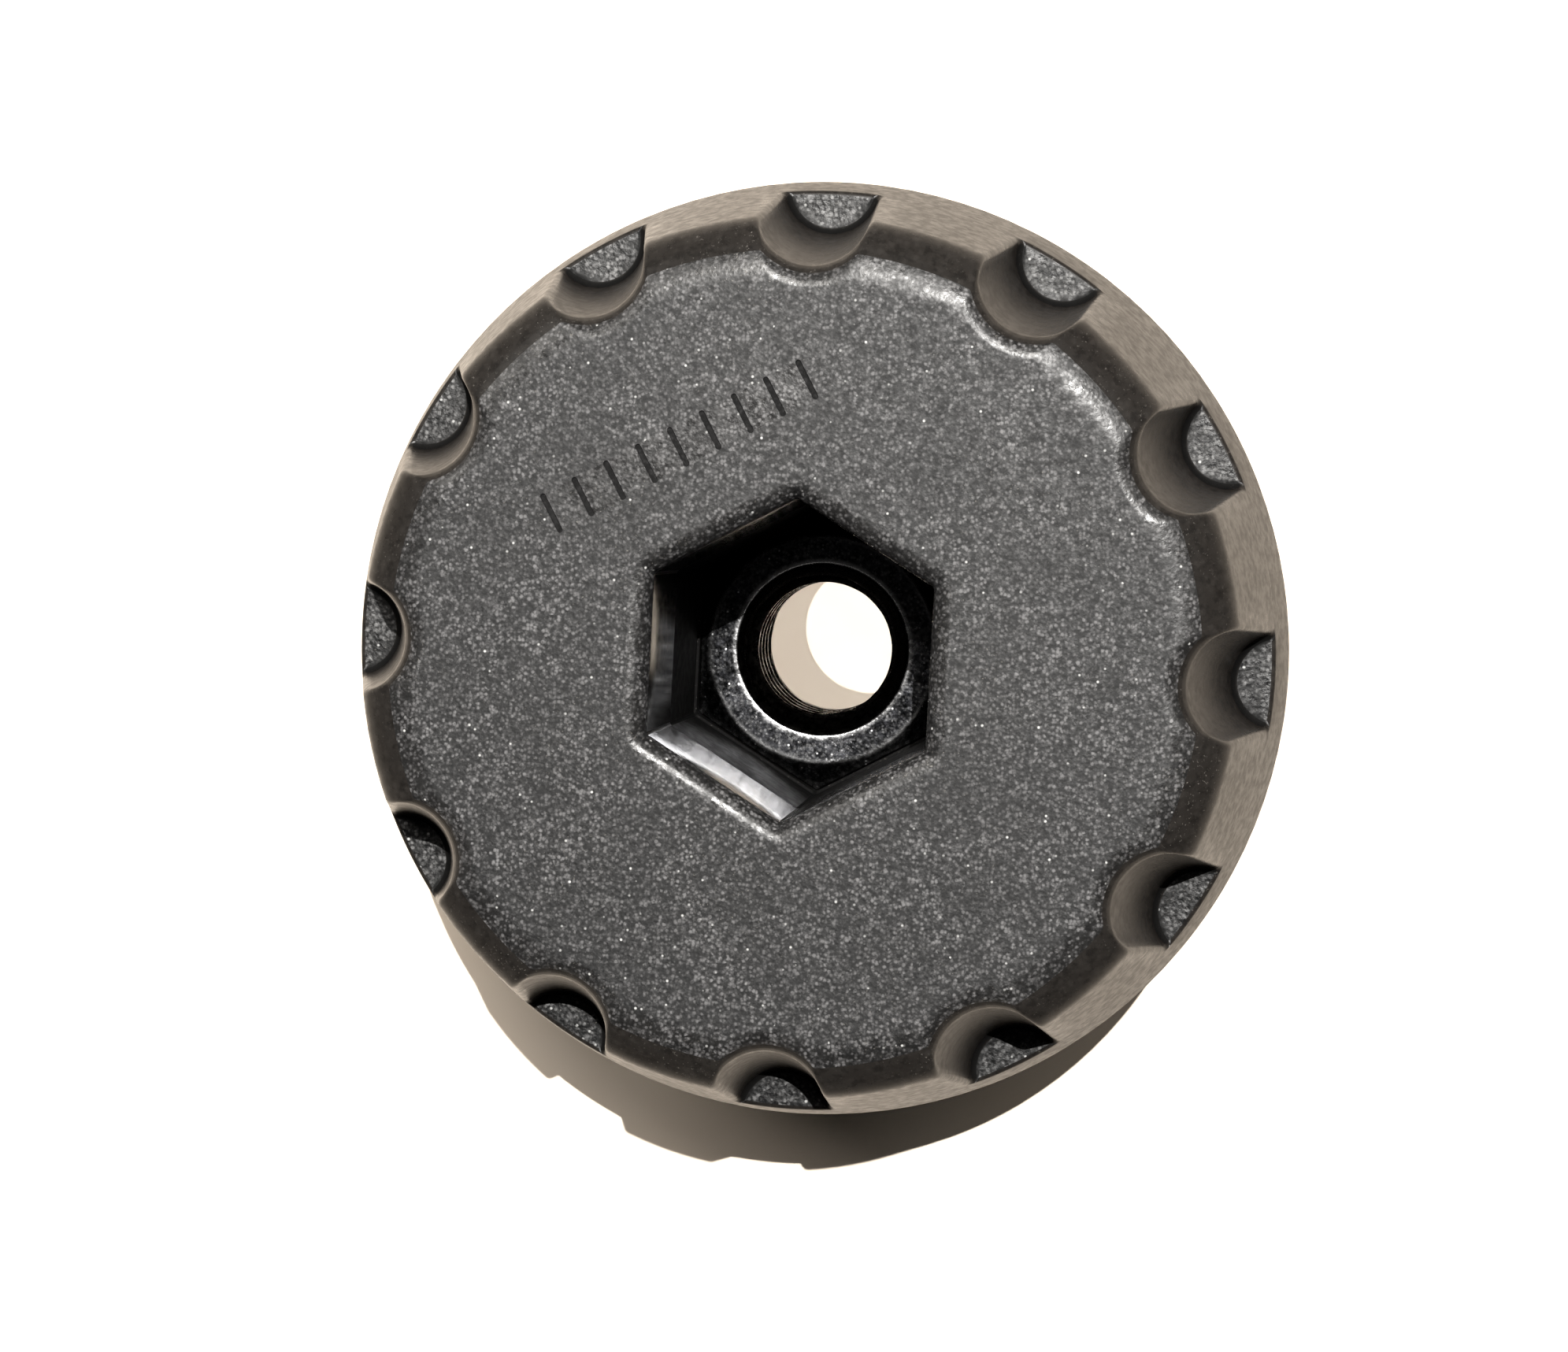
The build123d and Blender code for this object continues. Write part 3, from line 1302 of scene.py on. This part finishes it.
@dataclass(frozen=True)
class MouldMarks:
    """A row of plain sunk strokes: no letters, figures or signs."""

    depth: float = 0.1
    stroke: float = 0.42
    tall: float = 3.0
    distance: float = 16.6
    pitch: float = 2.5
    count: int = 9
    border: float = 0.15
    draft: float = 0.07
    roundness: float = 0.9

    def strokes(self) -> list[list[Loop]]:
        """Outlines of each stroke: a border round it, its edge and its floor.

        Returns:
            Three outlines for each stroke, each narrower than the one before.
        """
        made = []
        for k in range(self.count):
            along = (k - (self.count - 1) / 2) * self.pitch
            outlines = [self.rounded(grow) for grow in (self.border, 0.0, -self.draft)]
            made.append([turned(outline + (along, self.distance), SIXTH) for outline in outlines])
        return made

    def rounded(self, grow: float) -> Loop:
        """A stroke's outline about the origin.

        Args:
            grow: How much larger it is on every side.

        Returns:
            A closed rectangle with round corners.
        """
        half_width = self.stroke / 2 + grow
        half_height = self.tall / 2 + grow
        corner = half_width * self.roundness
        turns = []
        for k, (x, y) in enumerate(((1, 1), (-1, 1), (-1, -1), (1, -1))):
            pivot = (x * (half_width - corner), y * (half_height - corner))
            turns.append(arc(pivot, corner, k * math.pi / 2, (k + 1) * math.pi / 2, 4))
        return np.vstack(turns)


# ------------------------------------------------------------------------------------- nut


@dataclass
class HexNut:
    """M12 hex nut with chamfered corners, countersinks and a real thread."""

    flats: float
    bottom: float
    top: float
    bore: float
    pitch: float = 1.75
    thread_depth: float = 0.85
    countersink: float = 6.6
    chamfer_circle: float = 8.75
    chamfer_angle: float = math.radians(30)
    corner: float = 0.3
    edge: float = 0.14
    crest_flat: float = 0.25
    flank: float = 0.62
    rows_per_turn: int = 14
    shell: Shell = field(default_factory=Shell)

    @classmethod
    def from_frame(cls) -> "HexNut":
        """Takes the nut's sizes from its CAD node and its bore's mount.

        Returns:
            The nut, with nothing built yet.
        """
        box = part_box("hex_nut")
        mount = next(m for m in frame["record"]["mounts"] if m["name"] == "nut_thread")
        return cls(
            flats=box[1].x / MM * 2,
            bottom=box[0].z / MM,
            top=box[1].z / MM,
            bore=mount["dims"]["r_mm"],
        )

    def columns(self) -> np.ndarray:
        """Directions of the mesh columns, closer together at the hexagon's corners.

        Returns:
            Angles in radians, once round the nut.
        """
        half = (*range(0, 25, 3), 26, 27.5, 28.5, 29.2, 29.6, 30)
        unit = repeated(spokes(np.radians(half)), 6)
        return np.arctan2(unit[:, 1], unit[:, 0])

    def hexagon_radius(self, angles: np.ndarray) -> np.ndarray:
        """Radius of the rounded hexagon.

        Args:
            angles: Directions in radians.

        Returns:
            The radius in each direction.
        """
        off = np.abs((angles + SIXTH) % (2 * SIXTH) - SIXTH)
        reach = (self.flats / 2 - self.corner) / math.cos(SIXTH)
        flat = self.flats / 2 / np.cos(off)
        across = reach * np.sin(SIXTH - off)
        tip = reach * np.cos(SIXTH - off) + np.sqrt(np.maximum(self.corner**2 - across**2, 0))
        return np.where(across < self.corner * 0.5, np.minimum(flat, tip), flat)

    def thread(self, angles: np.ndarray, height: float) -> np.ndarray:
        """Radius of the threaded bore, with its countersinks.

        Args:
            angles: Directions in radians.
            height: Height above the mouth.

        Returns:
            The radius in each direction.
        """
        turn = (height / self.pitch - angles / (2 * math.pi)) % 1
        depth = np.clip((np.abs(2 * turn - 1) - self.crest_flat) / self.flank, 0, 1)
        end = min(height - self.bottom, self.top - height)
        return np.maximum(self.bore + self.thread_depth * depth, self.countersink - end)

    def side(self, angles: np.ndarray) -> list[tuple[np.ndarray, np.ndarray]]:
        """Radius and drop below the top face of each loop, from the countersink to the flats.

        Args:
            angles: Directions of the columns.

        Returns:
            One pair of arrays for each loop.
        """
        edge = self.edge
        lip = self.countersink
        rim = self.chamfer_circle
        slope = math.tan(self.chamfer_angle)
        corners = self.hexagon_radius(angles)
        ones = np.ones_like(angles)
        level = ((0, 0.6 * edge), (0.4 * edge, 0.15 * edge), (edge, 0), (0.5, 0), (1.1, 0), (1.7, 0))
        rows = [((lip + run) * ones, drop * ones) for run, drop in level]
        crown = ((-edge, 0), (0, 0.12 * edge), (edge, edge * slope))
        rows += [((rim + run) * ones, drop * ones) for run, drop in crown]
        for share in (0.35, 0.7, 1.0):
            radius = rim + edge + (corners - rim - 2 * edge) * share
            rows.append((radius, (radius - rim) * slope))
        for run, drop in ((0.25 * edge, 0.15 * edge), (0, 0.8 * edge)):
            rows.append((corners - run, (corners - rim) * slope + drop))
        return rows

    def build(self) -> bpy.types.Object:
        """Builds the nut, dresses it and puts it in the CAD node's place.

        Returns:
            The finished piece.
        """
        angles = self.columns()
        spoke = spokes(angles)
        side = self.side(angles)
        rows = [(spoke * radius[:, None], self.top - drop) for radius, drop in side]
        rows += [(spoke * radius[:, None], self.bottom + drop) for radius, drop in side[::-1]]
        lip = 0.6 * self.edge
        heights = np.arange(self.bottom + lip, self.top - lip, self.pitch / self.rows_per_turn)
        rows += [(spoke * self.thread(angles, z)[:, None], z) for z in heights[1:]]
        first = self.shell.loop(*rows[0])
        outside = 2 * len(side)
        last = self.shell.path(first, rows[1:outside], SteelFinish.FACES)
        last = self.shell.path(last, rows[outside:], SteelFinish.THREAD)
        self.shell.strip(last, first, SteelFinish.THREAD)
        finishes = [finish.material() for finish in (FACE_STEEL, SHADED_BORE_STEEL)]
        piece = self.shell.piece("threaded_nut", finishes, sharp=50)
        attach(piece, BODY)
        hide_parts("hex_nut")
        return piece


# ---------------------------------------------------------------------------------- studio


@dataclass(frozen=True)
class Lamp:
    """One light of the studio, in millimetres; with a cone in degrees it is a spot."""

    name: str
    place: Point
    aim: Point
    watts: float
    size: float
    colour: Colour
    cone: float | None = None

    def hang(self) -> None:
        """Adds the light to the scene."""
        data = bpy.data.lights.new(self.name, "SPOT" if self.cone else "AREA")
        data.energy = self.watts
        data.color = self.colour
        if self.cone:
            data.spot_size = math.radians(self.cone)
            data.spot_blend = 0.04
            data.shadow_soft_size = self.size * MM
        else:
            data.shape = "DISK"
            data.size = self.size * MM
        lamp = bpy.data.objects.new(self.name, data)
        place = Vector(self.place) * MM
        aim = Vector(self.aim) * MM
        lamp.location = place
        lamp.rotation_euler = (aim - place).to_track_quat("-Z", "Y").to_euler()
        bpy.context.scene.collection.objects.link(lamp)


@dataclass
class Studio:
    """Pale table, lights and camera."""

    target_height: float = 31.0
    distance: float = 200.0
    tilt: float = math.radians(7)
    azimuth: float = math.radians(23)
    roll: float = math.radians(3)
    lens: float = 61.2
    sensor: float = 36.0
    aim_offset: tuple[float, float] = (-2.34, -1.8)
    table_half: float = 1.2
    table_lines: int = 13

    def axes(self) -> tuple[Vector, Vector]:
        """The camera's right and up directions, laid on the table."""
        right = Vector((math.cos(self.roll), math.sin(self.roll), 0))
        return right, Vector((-right.y, right.x, 0))

    def placed(self, right: float, up: float, height: float) -> Point:
        """A point given along the camera's own directions.

        Args:
            right: Distance from the wrench's axis to the camera's right.
            up: Distance from the wrench's axis to the camera's up.
            height: Height above the table.

        Returns:
            The point in the frame's axes, in millimetres.
        """
        across, along = self.axes()
        point = across * right + along * up
        return (point.x, point.y, height)

    def camera(self) -> None:
        """Places the camera above the face, a little to its right."""
        target = Vector((0, 0, self.target_height))
        flat = Vector((math.cos(self.azimuth), math.sin(self.azimuth), 0)) * math.sin(self.tilt)
        eye = target + (flat + Vector((0, 0, math.cos(self.tilt)))) * self.distance
        turn = self.facing(eye, target)
        aim = target + turn.col[0] * self.aim_offset[0] + turn.col[1] * self.aim_offset[1]
        turn = self.facing(eye, aim).to_4x4()
        data = bpy.data.cameras.new("camera")
        data.lens = self.lens
        data.sensor_width = self.sensor
        data.clip_start = 10 * MM
        camera = bpy.data.objects.new("camera", data)
        camera.matrix_world = Matrix.Translation(eye * MM) @ turn
        bpy.context.scene.collection.objects.link(camera)
        bpy.context.scene.camera = camera

    def facing(self, eye: Vector, aim: Vector) -> Matrix:
        """A camera's turn, with its up direction kept along the table.

        Args:
            eye: Where the camera stands.
            aim: Where it looks.

        Returns:
            Its right, up and back directions as columns.
        """
        back = (eye - aim).normalized()
        right = self.axes()[1].cross(back).normalized()
        return Matrix((right, back.cross(right), back)).transposed()

    def table(self) -> None:
        """Lays a wide pale table under the mouth rim, sized in metres."""
        count = self.table_lines
        ticks = np.linspace(-self.table_half, self.table_half, count)
        verts = [(x, y, 0.0) for y in ticks for x in ticks]
        faces = [
            (r * count + c, r * count + c + 1, (r + 1) * count + c + 1, (r + 1) * count + c)
            for r in range(count - 1)
            for c in range(count - 1)
        ]
        mesh = bpy.data.meshes.new("table")
        mesh.from_pydata(verts, [], faces)
        material, graph = new_material("pale_table")
        mottle = graph.ramp(graph.noise(graph.millimetres(), 0.05, 4.0, 0.6), 0.3, 0.7)
        colour = graph.blend(mottle, (0.80, 0.69, 0.575, 1), (0.82, 0.72, 0.61, 1))
        shader = graph.node("ShaderNodeBsdfPrincipled", {"Base Color": colour, "Roughness": 0.6})
        graph.node("ShaderNodeOutputMaterial", {0: shader.outputs[0]})
        mesh.materials.append(material)
        table = bpy.data.objects.new("table", mesh)
        bpy.context.scene.collection.objects.link(table)

    def lights(self) -> None:
        """Hangs the key lamp, the soft fill and two beams that light the table through the bore."""
        centre = (0, 0, self.target_height)
        bore = (0, 0, 20)
        pale = (1.0, 0.98, 0.95)
        cream = (1.0, 0.97, 0.93)
        warm = (1.0, 0.96, 0.9)
        lamps = (
            Lamp("key", self.placed(302, 672, 2031), centre, watts=90, size=11, colour=pale),
            Lamp("soft_left", self.placed(-240, 230, 300), centre, watts=0.7, size=180, colour=warm),
            Lamp("soft_right", self.placed(200, 160, 380), centre, watts=0.25, size=180, colour=warm),
            Lamp("soft_top", self.placed(-20, 200, 400), centre, watts=1.2, size=160, colour=warm),
            Lamp("bore_beam", self.placed(-14, -9, 300), bore, 3.2, 0.1, cream, cone=2.2),
            Lamp("view_beam", self.placed(22, 8, 229), bore, 1.6, 0.1, warm, cone=2.9),
        )
        for lamp in lamps:
            lamp.hang()

    def world(self) -> None:
        """Gives the room a dim even light."""
        world = bpy.data.worlds.new("room")
        world.use_nodes = True
        graph = Graph(world.node_tree)
        glow = graph.node("ShaderNodeBackground", {"Color": (1.0, 0.97, 0.93, 1), "Strength": 0.02})
        graph.node("ShaderNodeOutputWorld", {0: glow.outputs[0]})
        bpy.context.scene.world = world
        bpy.context.scene.view_settings.view_transform = "Standard"

    def build(self) -> None:
        """Sets up the whole studio."""
        self.camera()
        self.table()
        self.world()
        self.lights()


def main() -> None:
    """Builds the wrench and its studio."""
    logging.basicConfig(level=logging.INFO, format="%(name)s: %(message)s")
    Studio().build()
    for part in (Cap.from_frame(), HexNut.from_frame()):
        piece = part.build()
        LOG.info("built %s", piece.name)


if __name__ == "__main__":
    main()
